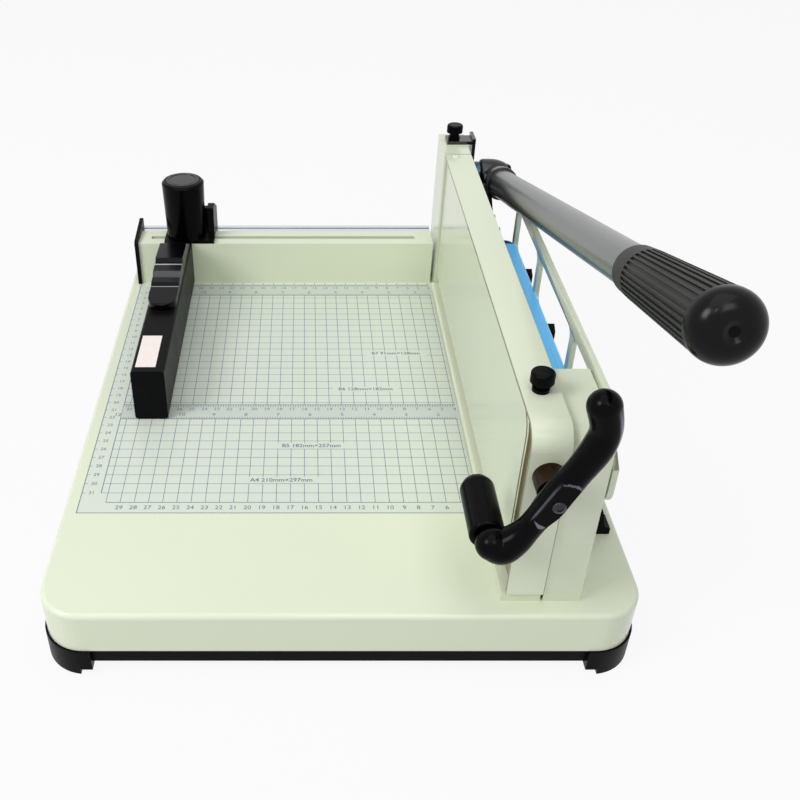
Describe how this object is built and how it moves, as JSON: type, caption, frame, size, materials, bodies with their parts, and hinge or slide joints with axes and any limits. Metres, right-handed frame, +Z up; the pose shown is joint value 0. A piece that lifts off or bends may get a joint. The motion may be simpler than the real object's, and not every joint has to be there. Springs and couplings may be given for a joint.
{
  "type": "paper cutter",
  "caption": "Lever paper cutter for stacks: a ruled cream base with fence and side guide, a crank-worked press beam and a long swinging knife.",
  "frame": {"origin": "on the floor, at the middle of the whole machine's plan with the knife closed", "axes": "+X to the right, +Y from the operator to the back, +Z up"},
  "size_m": [0.385, 0.5766, 0.3166],
  "materials": {
    "cream_paint": "semi-gloss enamel",
    "black_paint": "satin",
    "rubber": "matt",
    "gloss_black": "glossy",
    "grip_grey": "satin",
    "tube_grey": "bright plated",
    "rail_bright": "drawn",
    "blade_steel": "ground",
    "steel": "bright",
    "guard_blue": "glossy",
    "stick": "matt",
    "bronze": "dull"
  },
  "bodies": {
    "base": {"base_shell": "cream_paint", "bottom_tray": "black_paint", "corner_feet": "black_paint", "foot_pads": "rubber", "cutting_stick": "stick", "fence": "cream_paint", "fence_rail": "rail_bright", "fence_end_plate": "black_paint", "fence_screws": "steel", "front_column": "cream_paint", "rear_column": "cream_paint", "column_bolts": "steel", "lift_rack": "steel", "pivot_axle": "steel", "axle_nut": "steel", "axle_keeper": "black_paint", "rear_thumb_screw": "gloss_black", "right_post": "cream_paint", "side_stop": "black_paint"},
    "knife": {"lever_hub": "black_paint", "hub_bush": "bronze", "lever_tube": "tube_grey", "lever_grip": "grip_grey", "grip_cap": "gloss_black", "grip_screw": "black_paint", "knife_carrier": "cream_paint", "carrier_spacers": "steel", "carrier_bolts": "steel", "knife_holder": "black_paint", "blade": "blade_steel", "blade_bolts": "steel", "blade_guard": "guard_blue"},
    "clamp": {"press_hood": "cream_paint", "press_panel": "cream_paint", "press_foot": "cream_paint", "press_pad": "rubber", "front_thumb_screw": "gloss_black", "shaft_bush": "bronze", "gear_bracket": "steel"},
    "crank": {"clamp_shaft": "steel", "shaft_bevel": "steel", "crank_lever": "gloss_black", "crank_screw": "black_paint", "crank_pin": "steel"},
    "crank_handle": {"crank_grip": "gloss_black"},
    "lift_train": {"cross_shaft": "steel", "lift_bevel": "steel", "lift_gear": "bronze"},
    "idler": {"idler_gear": "steel"},
    "guide": {"guide_bar": "black_paint", "guide_arm": "gloss_black", "guide_carriage": "black_paint", "slot_nut": "steel"},
    "guide_knob": {"lock_stud": "steel", "lock_knob": "gloss_black"}
  },
  "joints": [
    {"name": "knife_swing", "type": "hinge", "parent": "base", "child": "knife", "pos_m": [0.146, 0.21176, 0.166], "axis": [-1, 0, 0], "range_deg": [0, 55]},
    {"name": "clamp_lift", "type": "slide", "parent": "base", "child": "clamp", "axis": [0, 0, 1], "range_m": [0, 0.0405]},
    {"name": "crank_turn", "type": "hinge", "parent": "clamp", "child": "crank", "pos_m": [0.115, -0.17324, 0.157], "axis": [0, 1, 0], "range_deg": [0, 155]},
    {"name": "gear_turn", "type": "hinge", "parent": "clamp", "child": "lift_train", "pos_m": [0.115, -0.17324, 0.157], "axis": [1, 0, 0], "range_deg": [0, 155]},
    {"name": "idler_turn", "type": "hinge", "parent": "clamp", "child": "idler", "pos_m": [0.123, -0.15774, 0.14069], "axis": [1, 0, 0], "range_deg": [-310, 0]},
    {"name": "crank_grip_spin", "type": "hinge", "parent": "crank", "child": "crank_handle", "pos_m": [0.082, -0.19824, 0.124], "axis": [0, 1, 0], "continuous": true},
    {"name": "guide_slide", "type": "slide", "parent": "base", "child": "guide", "axis": [1, 0, 0], "range_m": [-0.024, 0.205]},
    {"name": "guide_lock", "type": "hinge", "parent": "guide", "child": "guide_knob", "pos_m": [-0.1353, 0.22526, 0.113], "axis": [0, 0, 1], "range_deg": [0, 180]}
  ],
  "couplings": [
    {"joint": "crank_turn", "follows": "clamp_lift", "rad_per_m": 66.667},
    {"joint": "gear_turn", "follows": "clamp_lift", "rad_per_m": 66.667},
    {"joint": "idler_turn", "follows": "clamp_lift", "rad_per_m": -133.33}
  ]
}
